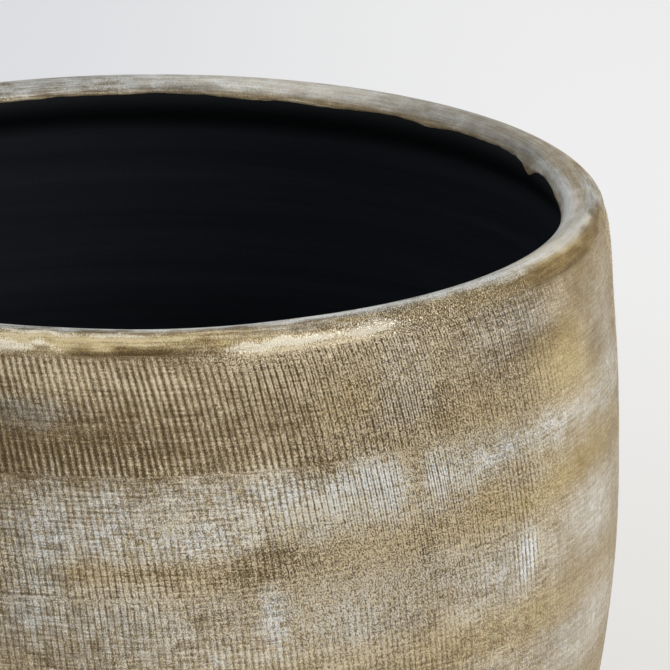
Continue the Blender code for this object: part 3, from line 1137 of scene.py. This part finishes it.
@dataclass
class CombedCoat:
    """The outer coat below the lip, combed course by course.

    Jitter and stray are shares of a ridge's width, and level, least bite and deepest are shares of
    the comb's. Once, scored and twice are a ridge's heights across its width after one pass of the
    comb, after one that left narrow grooves, and after two."""

    wall: Wall
    brushwork: Brushwork
    finish: Material
    groove_depth: float = 0.00042
    cross_depth: float = 0.00018
    grit: float = 0.00005
    fade: float = 0.0007
    ragged: float = 0.0004
    jitter: float = 0.06
    stray: float = 0.13
    level: float = 0.5
    least_bite: float = 0.10
    deepest: float = -0.3
    once: tuple[float, ...] = (0.0, 0.50, 1.0, 0.55)
    scored: tuple[float, ...] = (-0.02, 0.60, 0.96, 0.62)
    twice: tuple[float, ...] = (-0.45, 0.40, 1.40, 0.55, 0.05, 0.75, 1.15, 0.35)
    ripples: Ripple = field(default_factory=lambda: Ripple(31, 46, 0.011))
    wander: Ripple = field(default_factory=lambda: Ripple(32, 300, 0.009))

    def build(self, course: Course) -> list[Piece]:
        """Combs one course.

        Args:
            course: the course to comb.

        Returns:
            Its bands, from the top down.
        """
        draw = np.random.default_rng(course.ridges)
        pitch = FULL_TURN / course.ridges
        down = np.linspace(course.top, course.bottom, course.rows * course.bands + 1)[:, None]
        column = np.arange(course.ridges * course.places)[None, :]
        shape = (len(down), column.size)
        fallen = down - course.top
        share = fallen / (course.bottom - course.top)
        lean = (course.lean_top + (course.lean_bottom - course.lean_top) * share / 2) * fallen
        radius = self.wall.radius(down)
        shift = np.repeat(draw.uniform(-self.jitter, self.jitter, course.ridges), course.places)[None, :]
        laid_angle = np.broadcast_to((column / course.places + shift) * pitch, shape)
        drop = np.broadcast_to(down, shape)
        azimuth = laid_angle + lean / radius + self.wander.at(laid_angle, drop) * self.stray * pitch
        ends = self.ends(course, laid_angle, drop)
        numbers = self.brushwork.cover(azimuth, drop)
        twice = np.clip(numbers.pop("doubled"), 0.0, 1.0)
        bite = course.bite * (0.95 + 0.3 * self.ripples.at(azimuth, drop)) - 0.8 * numbers.pop("worn")
        bite = bite + 0.35 * twice * (1 - course.bite)
        bite = np.clip(bite, self.least_bite, 1.0) * ends
        comb = self.level + (self.profile(course, column, twice) - self.level) * bite
        lines = self.cross_lines(draw, azimuth, drop)
        grit = draw.uniform(0.0, self.grit, shape)
        cell = self.caught(draw, len(down), course.ridges)[:, column[0] // course.places] * ends
        cut = self.groove_depth * (1 - np.clip(comb, self.deepest, 1.0))
        depth = cut + (self.cross_depth * lines + grit) * ends
        numbers["sandy"] = numbers["sandy"] * (1 - 0.25 * twice)
        numbers["woven"] = np.maximum(numbers["woven"], course.weave)
        numbers |= {"comb": comb, "line": lines * ends, "cell": cell, "sweep": np.zeros(shape)}
        laid = turned_places(radius, -drop, laid_angle)
        return self.bands(course, self.wall.places(azimuth, drop, depth), numbers, laid)

    def bands(self, course: Course, places: Field, numbers: dict[str, Field], laid: Field) -> list[Piece]:
        """Cuts a course into its bands and dresses them.

        Args:
            course: the course.
            places: where its surface lies.
            numbers: values for each place, by name.
            laid: the places on the uncombed wall.

        Returns:
            The bands, from the top down.
        """
        made = []
        for band in range(course.bands):
            rows = slice(band * course.rows, (band + 1) * course.rows + 1)
            name = f"{course.name}_{band + 1}" if course.bands > 1 else course.name
            kept = {title: values[rows] for title, values in numbers.items()}
            piece = band_mesh(name, places[rows], kept, laid[rows], strips=6)
            made.append(wear(piece, self.finish, "brass_coat", "brass_outer_coat"))
        return made

    def ends(self, course: Course, azimuth: Field, drop: Field) -> Field:
        """Fades a course out at its ragged top and at its bottom.

        Args:
            course: the course.
            azimuth: angles in radians, before the ridges lean.
            drop: distances down from the crest, the same shape as azimuth.

        Returns:
            1 over the course, falling to 0 at both ends.
        """
        start = course.top + self.ragged * (1 + self.wander.at(azimuth, drop * 0))
        begun = smooth_step(drop, start, start + self.fade)
        return begun * (1 - smooth_step(drop, course.bottom - self.fade, course.bottom))

    def profile(self, course: Course, column: Field, twice: Field) -> Field:
        """Shapes the ridges as a full bite of the comb leaves them.

        Args:
            course: the course.
            column: the number of each place in its row.
            twice: how far the comb passed a second time, from 0 to 1.

        Returns:
            Each place's height, about 0 in a groove and 1 on a ridge.
        """
        across = column % course.places / course.places
        once, twofold = (
            np.interp(across, np.arange(len(heights)) / len(heights), heights, period=1.0)
            for heights in (self.scored if course.scored else self.once, self.twice)
        )
        return once * (1 - twice) + twofold * twice

    def cross_lines(self, draw: np.random.Generator, azimuth: Field, drop: Field) -> Field:
        """Presses fine lines across the ridges, one to every second row.

        Args:
            draw: source of the random numbers.
            azimuth: angles in radians.
            drop: distances down from the crest, the same shape as azimuth.

        Returns:
            How deep they lie at each place, from 0 to about 1.
        """
        pressed = np.arange(len(drop)) % 2 * draw.uniform(0.4, 0.8, len(drop))
        pressed = pressed + draw.uniform(0.0, 0.4, len(drop))
        return pressed[:, None] * np.clip(0.65 + 0.45 * self.wander.at(azimuth + 1.0, drop * 3), 0.0, 1.0)

    def caught(self, draw: np.random.Generator, rows: int, ridges: int) -> Field:
        """How much glaze caught on each ridge, one cell between two cross lines at a time.

        Args:
            draw: source of the random numbers.
            rows: number of rows of places, two to a cell.
            ridges: number of ridges.

        Returns:
            (rows, ridges) values from -1 to 1.
        """
        row = np.arange(rows)[:, None] // 2
        ridge = np.arange(ridges)[None, :]
        own = draw.uniform(-1.0, 1.0, (rows, ridges))[row, ridge]
        begin = draw.integers(0, 4, (1, ridges))
        run = draw.uniform(-1.0, 1.0, (rows, ridges))[(row + begin) // 4, ridge]
        across = draw.uniform(-1.0, 1.0, (rows, ridges))[row, (ridge + row * 3) // 6]
        return own * 0.45 + run * 0.30 + across * 0.25


@dataclass
class Lip:
    """The smooth lip: the outer coat from the first course up, over the crest to its painted edge.

    Each drip of the edge has its azimuth and width in degrees and its length in metres."""

    wall: Wall
    coat: CombedCoat
    bottom: float
    edge_drop: float
    drips: tuple[tuple[float, float, float], ...] = (
        (89, 11, 0.0020), (100, 5, -0.0006), (108, 2.0, 0.0026), (117, 8, -0.0005), (133, 3.0, 0.0008),
        (154, 6, 0.0005), (177, 8, -0.0010), (250, 1.8, 0.0020), (310, 2.6, 0.0013),
    )
    feather: float = 0.0006
    edge_depth: float = 0.00026
    brushed: float = 0.00002
    rows: int = 64
    columns: int = 1440
    ripples: Ripple = field(default_factory=lambda: Ripple(41, 64, 0.02))
    fine: Ripple = field(default_factory=lambda: Ripple(42, 300, 0.02))

    def painted_edge(self, azimuth: Field) -> Field:
        """Draws the line where the coat ends on the inner side of the lip.

        Args:
            azimuth: angles in radians.

        Returns:
            Its drop at each azimuth, which is negative.
        """
        flat = np.zeros_like(azimuth)
        edge = self.edge_drop + self.ripples.at(azimuth, flat) * 0.0006 + self.fine.at(azimuth, flat) * 0.0002
        for centre, width, length in self.drips:
            edge = edge - length * hump(degrees_from(azimuth, centre), 0.0, width)
        return edge

    def build(self) -> Piece:
        """Turns the lip.

        Returns:
            The finished piece.
        """
        share = even_shares(self.rows)
        azimuth = np.broadcast_to(full_turn(self.columns), (self.rows, self.columns))
        edge = self.painted_edge(azimuth)
        drop = edge + (self.bottom - edge) * share
        feather = 1 - smooth_step(drop - edge, 0.0, self.feather)
        brushed = (self.fine.at(azimuth, drop * 6) * 0.5 + 0.5) * self.brushed
        join = smooth_step(share, 0.95, 1.0)
        level = self.coat.groove_depth * (1 - self.coat.level)
        depth = feather * self.edge_depth + brushed * (1 - join) * (1 - feather) + level * join
        places = self.wall.places(azimuth, drop, depth)
        marks = self.coat.brushwork.cover(azimuth, drop)
        sweep = 1 - 0.7 * smooth_step(drop, 0.003, 0.007) * np.clip(marks["sandy"], 0.0, 1.0)
        plain = np.zeros_like(drop)
        numbers = {name: values for name, values in marks.items() if name not in ("worn", "doubled")}
        numbers |= {"comb": plain + 0.5, "line": plain, "cell": plain, "sweep": sweep}
        laid = turned_places(self.wall.radius(self.bottom), -drop, azimuth)
        piece = band_mesh("brass_lip", places, numbers, laid, strips=8)
        return wear(piece, self.coat.finish, "brass_coat", "brass_outer_coat")


@dataclass
class Inside:
    """The black inside, from under the painted edge down to the middle of the floor.

    It has faint rings from the wheel, is tucked in where the brass coat lies over it, and carries painted
    shade near its top edge and on one side."""

    outline: Outline
    finish: Material
    top_drop: float
    ring_pitch: float = 0.0075
    ring_depth: float = 0.00035
    hill_depth: float = 0.00012
    tuck: float = 0.00020
    painted_shade_side: tuple[float, float] = (3.3, 0.9)
    rows: int = 275
    columns: int = 360

    def build(self) -> Piece:
        """Turns the inside.

        Returns:
            The finished piece.
        """
        rings = Ripple(51, 3, self.ring_pitch)
        hills = Ripple(52, 14, 0.02)
        azimuth = full_turn(self.columns)
        end = self.outline.crest + self.top_drop
        distance = AXIS_GAP + (end - AXIS_GAP) * even_shares(self.rows)
        spiral = distance + self.ring_pitch * azimuth / FULL_TURN
        wall = smooth_step(self.outline.at(distance)[0], 0.0, 0.06)
        wall = wall * (1 - smooth_step(distance, end - 0.012, end))
        sink = self.ring_depth * (0.5 + 0.5 * rings.at(azimuth * 0.0, spiral)) * wall
        sink = sink + self.hill_depth * (1 + hills.at(azimuth, distance)) * wall
        sink = sink + self.tuck * smooth_step(distance, end - 0.006, end)
        # painted shade: darker towards the top edge of the inside and on one side
        rim = smooth_step(distance, end - 0.018, end - 0.009)
        rim = np.maximum(rim, 0.35 * hump(azimuth, *self.painted_shade_side))
        piece = band_mesh("black_inside", self.outline.turned(distance, sink, azimuth), {"rim": rim})
        return wear(piece, self.finish, "black_coat", "black_inner_coat")


@dataclass
class Foot:
    """The bare clay foot: heel, foot ring and the recess inside it."""

    outline: Outline
    finish: Material
    grit_depth: float = 0.00008
    hill_depth: float = 0.0001
    rows: int = 200
    columns: int = 480

    def build(self) -> Piece:
        """Turns the foot.

        Returns:
            The finished piece.
        """
        grit = Ripple(61, 240, 0.0016)
        hills = Ripple(62, 12, 0.02)
        azimuth = full_turn(self.columns)
        distance = (self.outline.length - AXIS_GAP) * even_shares(self.rows)
        sink = self.grit_depth * (1 + grit.at(azimuth, distance))
        sink = sink + self.hill_depth * (1 + hills.at(azimuth, distance))
        sink = sink * smooth_step(self.outline.at(distance)[0], 0.005, 0.04)
        piece = band_mesh("clay_foot", self.outline.turned(distance, sink, azimuth), {})
        return wear(piece, self.finish, "stoneware", "stoneware_body")


@dataclass
class FeltPad:
    """One felt pad, a little fuzzy at its rim, with a pinhole where its faces meet the axis."""

    node: str
    finish: Material
    rows: int = 40
    columns: int = 96
    fuzz: float = 0.00012
    pinhole: float = 0.0001

    def build(self, seed: int) -> Piece:
        """Cuts the pad.

        Args:
            seed: seed of its fuzz.

        Returns:
            The finished piece.
        """
        low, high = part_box(self.node)
        centre = (low + high) / 2
        radius = (high.x - low.x) / 2
        thick = high.z - low.z
        corners = np.array([[self.pinhole, thick], [radius, thick], [radius, 0.0], [self.pinhole, 0.0]])
        outline = Outline.rounded(corners, thick / 2)
        fuzz = np.random.default_rng(seed).uniform(0.0, self.fuzz, (self.rows, self.columns))
        distance = outline.length * even_shares(self.rows)
        sink = fuzz * smooth_step(outline.at(distance)[0], 0.0, radius * 0.2)
        places = outline.turned(distance, sink, full_turn(self.columns))
        places = places + np.array([centre.x, centre.y, low.z])
        piece = band_mesh(self.node.replace("felt_pad", "fuzzy_pad"), places, {})
        return wear(piece, self.finish, "felt", self.node)


# ---------------------------------------------------------------- studio


@dataclass
class Studio:
    """A pale floor, soft light and a camera a little above the pot's rim."""

    rim_height: float
    camera_back: float = 1.150
    camera_rise: float = 0.340
    turn: float = 0.0440
    tilt: float = 0.3189
    lens: float = 248.7
    # the floor's tints are painted light, darker on the left and on the near side; floor_glow is how much it
    # glows for the camera and reflections, also painted light
    floor_left: Colour = (0.760, 0.770, 0.800)
    floor_right: Colour = (0.900, 0.900, 0.900)
    floor_near: Colour = (0.800, 0.785, 0.760)
    floor_glow: float = 0.6
    surround: Colour = (0.86, 0.865, 0.87)
    surround_strength: float = 0.75

    def camera(self) -> None:
        """Places the camera, looking down at the rim with the pot left of centre."""
        data = bpy.data.cameras.new("camera")
        data.lens = self.lens
        data.sensor_width = 36.0
        data.clip_start = 0.05
        camera = put("camera", data)
        camera.location = (0.0, -self.camera_back, self.rim_height + self.camera_rise)
        flat = math.cos(self.tilt)
        gaze = Vector((math.sin(self.turn) * flat, math.cos(self.turn) * flat, -math.sin(self.tilt)))
        camera.rotation_euler = gaze.to_track_quat("-Z", "Y").to_euler()
        bpy.context.scene.camera = camera

    def lamp(self, name: str, place: Sequence[float], size: float, power: float, tint: Colour) -> None:
        """Hangs a square softbox that faces the pot.

        Args:
            name: name of the lamp.
            place: where it hangs.
            size: its side, in metres.
            power: its power, in watts.
            tint: its colour.
        """
        data = bpy.data.lights.new(name, "AREA")
        data.shape = "SQUARE"
        data.size = size
        data.energy = power
        data.color = tint
        lamp = put(name, data)
        lamp.location = place
        aim = Vector((0.0, 0.0, self.rim_height / 2)) - lamp.location
        lamp.rotation_euler = aim.to_track_quat("-Z", "Y").to_euler()

    def floor(self) -> None:
        """Lays a wide pale floor that fades into the world's own tone. Its tint is painted light, darker on
        the left and towards the near side, and it glows for the camera as painted light.
        """
        size = 12.0
        corners = [(-size, -size, 0), (size, -size, 0), (size, size, 0), (-size, size, 0)]
        mesh = bpy.data.meshes.new("floor")
        mesh.from_pydata(corners, [], [(0, 1, 2, 3)])
        floor = put("floor", mesh)
        floor.location.z = -0.0002
        paint = Paint("pale_floor")
        along = paint.node("ShaderNodeSeparateXYZ", {}, {"Vector": paint.place()})
        right = Value(paint, along.outputs["X"]).step(-0.12, 0.20)
        far = Value(paint, along.outputs["Y"]).step(0.10, 0.75)
        tint = paint.mix(right, self.floor_left, self.floor_right)
        tint = paint.mix(far, self.floor_near, tint)
        paint.principled(Base_Color=tint, Roughness=0.9)
        # the floor glows at its own tint for the camera and for reflections: painted light
        rays = paint.node("ShaderNodeLightPath", {}, {})
        seen = Value(paint, rays.outputs["Is Camera Ray"]) + Value(paint, rays.outputs["Is Glossy Ray"])
        dark = {"Base Color": (0.0, 0.0, 0.0), "Specular IOR Level": 0.0}
        light = {"Emission Color": tint, "Emission Strength": 1.0}
        glow = paint.node("ShaderNodeBsdfPrincipled", {}, dark | light).outputs[0]
        shaders = {0: (seen * self.floor_glow).clamped(), 1: paint.shader.outputs[0], 2: glow}
        blend = paint.node("ShaderNodeMixShader", {}, shaders).outputs[0]
        paint.feed(paint.tree.nodes["Material Output"].inputs["Surface"], blend)
        mesh.materials.append(paint.material)

    def world(self) -> None:
        """Lights everything evenly from a pale surround."""
        world = bpy.data.worlds.new("surround")
        world.use_nodes = True
        sky = world.node_tree.nodes["Background"]
        sky.inputs["Color"].default_value = (*self.surround, 1.0)
        sky.inputs["Strength"].default_value = self.surround_strength
        bpy.context.scene.world = world

    def build(self) -> None:
        """Sets up the whole studio."""
        self.world()
        self.floor()
        self.lamp("key", (1.6, -0.9, 1.3), size=1.2, power=29.0, tint=(1.0, 0.985, 0.96))
        self.lamp("fill", (-1.6, -1.0, 1.0), size=1.4, power=5.0, tint=(0.96, 0.98, 1.0))
        self.camera()
        bpy.context.scene.view_settings.view_transform = "Standard"


# ---------------------------------------------------------------- assembly


def to_axis(rim: Field) -> Field:
    """Radii and heights about 8 mm apart along a flat disc, from its rim in to the axis."""
    count = int(rim[0] / 0.008) + 2
    return np.stack([np.linspace(rim[0], 0.0, count), np.full(count, rim[1])], axis=1)


def whole_outline() -> Outline:
    """The visible line from the middle of the inside floor, over the lip and down to the heel.

    Returns:
        One smooth line through both coats.
    """
    outside = max(section("brass_outer_coat"), key=lambda points: points[:, 0].mean())
    inside = min(section("black_inner_coat"), key=lambda points: points[:, 0].mean())
    if outside[0, 1] < outside[-1, 1]:
        outside = outside[::-1]
    if inside[0, 0] > inside[-1, 0]:
        inside = inside[::-1]
    return Outline.curved(np.concatenate([to_axis(inside[0])[:0:-1], inside, outside]))


def foot_outline(coat_end: float) -> Outline:
    """The bare clay's line, from a little above the coat's lower end in to the middle.

    Args:
        coat_end: height of the coat's lower end.

    Returns:
        The line, with softened corners.
    """
    chain = max(section("stoneware_body"), key=len)
    lowest = int(np.flatnonzero(chain[:, 1] < chain[:, 1].min() + 1e-5).min())
    if chain[lowest, 0] < chain[lowest + 1, 0]:
        chain = chain[::-1]
    keep = np.flatnonzero((chain[:, 1] < coat_end + 0.004) & (chain[:, 1] < 0.02))
    chain = chain[keep[0] :]
    return Outline.rounded(np.concatenate([chain, to_axis(chain[-1])[1:]]), 0.003)


def main() -> None:
    """Builds the pot's visible pieces and the studio round them."""
    logging.basicConfig(level=logging.INFO, format="%(name)s: %(message)s")
    wall = Wall(whole_outline())
    coat = CombedCoat(wall, Brushwork(), BrassFinish().material())
    painted_edge = -0.0079
    overlap = 0.0016
    seams = (0.0081, 0.0377, 0.0680, 0.1100, wall.outline.length - wall.outline.crest)
    Lip(wall, coat, seams[0], painted_edge).build()
    for course in (
        Course("upper_combing", *seams[:2], 452, 0.29, 0.19, bite=0.90, weave=0.8, scored=False, places=8),
        Course("middle_combing", *seams[1:3], 474, 0.20, 0.15, bite=0.44, weave=1.1, places=8),
        Course("belly_combing", *seams[2:4], 496, 0.11, 0.11, bite=0.38, weave=1.0, bands=1, rows=50),
        Course("lower_combing", *seams[3:], 440, 0.11, 0.07, bite=0.42, weave=1.0, rows=52),
    ):
        coat.build(course)
    Inside(wall.outline, BlackFinish().material(), painted_edge + overlap).build()
    Foot(foot_outline(float(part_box("brass_outer_coat")[0].z)), ClayFinish().material()).build()
    felt = FeltFinish().material()
    for seed, side in enumerate(("right", "back", "left", "front")):
        FeltPad("felt_pad_" + side, felt).build(seed)
    Studio(float(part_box("brass_outer_coat")[1].z)).build()


if __name__ == "__main__":
    main()
